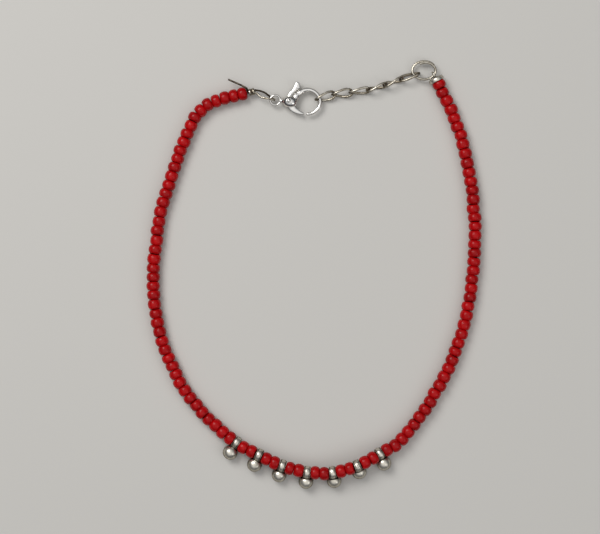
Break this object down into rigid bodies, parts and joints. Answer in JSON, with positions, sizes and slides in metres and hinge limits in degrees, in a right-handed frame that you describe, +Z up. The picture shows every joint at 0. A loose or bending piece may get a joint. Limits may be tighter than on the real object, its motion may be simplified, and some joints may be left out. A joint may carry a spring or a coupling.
{
  "type": "beaded anklet",
  "caption": "Beaded anklet of red glass beads with cast silver drops at the front, a lobster clasp on a wire loop and an extender chain on an open ring.",
  "frame": {"origin": "centre of the anklet's outline, on the surface that it lies on", "axes": "+Z up from the surface, +Y from the drops at the front to the clasp at the back, +X to the right seen from above"},
  "size_m": [0.0748, 0.0958, 0.0052],
  "materials": {
    "red_glass": "opaque, glossy",
    "antique_silver": "antique silver, dark in its recesses",
    "bright_plating": "bright plated, polished",
    "tarnished_steel": "tarnished, brownish grey"
  },
  "bodies": {
    "anklet": {"beads_left": "red_glass", "beads_right": "red_glass", "charm_1": "antique_silver", "charm_2": "antique_silver", "charm_3": "antique_silver", "charm_4": "antique_silver", "charm_5": "antique_silver", "charm_6": "antique_silver", "charm_7": "antique_silver", "crimp_tube": "tarnished_steel", "end_wire": "tarnished_steel", "clasp_body": "bright_plating", "clasp_rivet": "bright_plating", "chain_link_1": "tarnished_steel", "chain_link_2": "tarnished_steel", "chain_link_3": "tarnished_steel", "chain_link_4": "tarnished_steel", "chain_link_5": "tarnished_steel", "chain_link_6": "tarnished_steel", "extender_ring": "tarnished_steel", "end_cap": "antique_silver"},
    "lever": {"clasp_lever": "bright_plating"}
  },
  "joints": [
    {"name": "clasp_lever_hinge", "type": "hinge", "parent": "anklet", "child": "lever", "pos_m": [-0.00559, 0.0387, 0.00147], "axis": [0, 0, 1], "range_deg": [0, 28], "stiffness_Nm_per_rad": 0.002, "springref_deg": -28.65}
  ]
}
